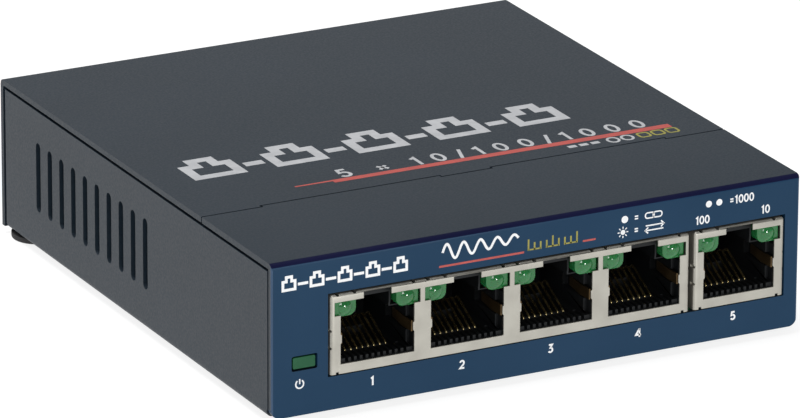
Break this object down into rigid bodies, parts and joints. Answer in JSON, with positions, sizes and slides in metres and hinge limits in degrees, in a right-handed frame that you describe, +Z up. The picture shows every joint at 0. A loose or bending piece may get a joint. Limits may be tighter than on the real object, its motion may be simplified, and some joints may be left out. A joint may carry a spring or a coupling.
{
  "type": "desktop network switch",
  "caption": "Small desktop network switch: folded-steel case with side air slots, a row of network sockets with link lights, a power light and a barrel power inlet.",
  "frame": {"origin": "under the middle of the case, on the surface the rubber feet stand on", "axes": "+X right seen from the socket side, +Y from the sockets towards the back panel, +Z up"},
  "size_m": [0.094, 0.101, 0.027],
  "materials": {
    "painted_case": "fine-textured powder coat, semi-matte",
    "rubber_feet": "matte",
    "dark_screws": "black oxide",
    "board": "solder mask over glass laminate",
    "bright_metal": "plated",
    "tinned_shield": "tinned, satin",
    "green_lens": "tinted clear plastic",
    "gold_contacts": "gold plated",
    "heatsink_aluminium": "extruded",
    "capacitor_can": "shrink sleeve",
    "ferrite": "sintered",
    "black_plastic": "moulded"
  },
  "bodies": {
    "case": {"chassis_tray": "painted_case", "top_cover": "painted_case", "rubber_foot_front_left": "rubber_feet", "rubber_foot_front_right": "rubber_feet", "rubber_foot_back_left": "rubber_feet", "rubber_foot_back_right": "rubber_feet", "cover_screw_left": "dark_screws", "cover_screw_right": "dark_screws", "circuit_board": "board", "board_post_1": "bright_metal", "board_post_2": "bright_metal", "board_post_3": "bright_metal", "board_post_4": "bright_metal", "board_screw_1": "bright_metal", "board_screw_2": "bright_metal", "board_screw_3": "bright_metal", "board_screw_4": "bright_metal", "gang_socket_shield": "tinned_shield", "single_socket_shield": "tinned_shield", "gang_socket_housing": "black_plastic", "single_socket_housing": "black_plastic", "link_light_1_left": "green_lens", "link_light_1_right": "green_lens", "link_light_2_left": "green_lens", "link_light_2_right": "green_lens", "link_light_3_left": "green_lens", "link_light_3_right": "green_lens", "link_light_4_left": "green_lens", "link_light_4_right": "green_lens", "link_light_5_left": "green_lens", "link_light_5_right": "green_lens", "power_light_pipe": "green_lens", "power_light": "green_lens", "power_jack_housing": "black_plastic", "power_jack_pin": "bright_metal", "switch_chip": "black_plastic", "heatsink": "heatsink_aluminium", "isolation_transformer_1": "black_plastic", "isolation_transformer_2": "black_plastic", "isolation_transformer_3": "black_plastic", "isolation_transformer_4": "black_plastic", "isolation_transformer_5": "black_plastic", "capacitor_1": "capacitor_can", "capacitor_2": "capacitor_can", "capacitor_3": "capacitor_can", "inductor_1": "ferrite", "inductor_2": "ferrite", "crystal": "bright_metal", "memory_chip": "black_plastic", "voltage_regulator": "black_plastic"},
    "contacts_1": {"contact_springs_1": "gold_contacts"},
    "contacts_2": {"contact_springs_2": "gold_contacts"},
    "contacts_3": {"contact_springs_3": "gold_contacts"},
    "contacts_4": {"contact_springs_4": "gold_contacts"},
    "contacts_5": {"contact_springs_5": "gold_contacts"},
    "jack_leaf": {"power_jack_leaf": "bright_metal"}
  },
  "joints": [
    {"name": "contacts_1_press", "type": "hinge", "parent": "case", "child": "contacts_1", "pos_m": [-0.02868, -0.046, 0.0089], "axis": [-1, 0, 0], "range_deg": [0, 18], "stiffness_Nm_per_rad": 0.15},
    {"name": "contacts_2_press", "type": "hinge", "parent": "case", "child": "contacts_2", "pos_m": [-0.01288, -0.046, 0.0089], "axis": [-1, 0, 0], "range_deg": [0, 18], "stiffness_Nm_per_rad": 0.15},
    {"name": "contacts_3_press", "type": "hinge", "parent": "case", "child": "contacts_3", "pos_m": [0.00292, -0.046, 0.0089], "axis": [-1, 0, 0], "range_deg": [0, 18], "stiffness_Nm_per_rad": 0.15},
    {"name": "contacts_4_press", "type": "hinge", "parent": "case", "child": "contacts_4", "pos_m": [0.01872, -0.046, 0.0089], "axis": [-1, 0, 0], "range_deg": [0, 18], "stiffness_Nm_per_rad": 0.15},
    {"name": "contacts_5_press", "type": "hinge", "parent": "case", "child": "contacts_5", "pos_m": [0.03595, -0.046, 0.0089], "axis": [-1, 0, 0], "range_deg": [0, 18], "stiffness_Nm_per_rad": 0.15},
    {"name": "jack_leaf_press", "type": "hinge", "parent": "case", "child": "jack_leaf", "pos_m": [0.033, 0.0392, 0.0093], "axis": [-1, 0, 0], "range_deg": [0, 6], "stiffness_Nm_per_rad": 0.1}
  ]
}
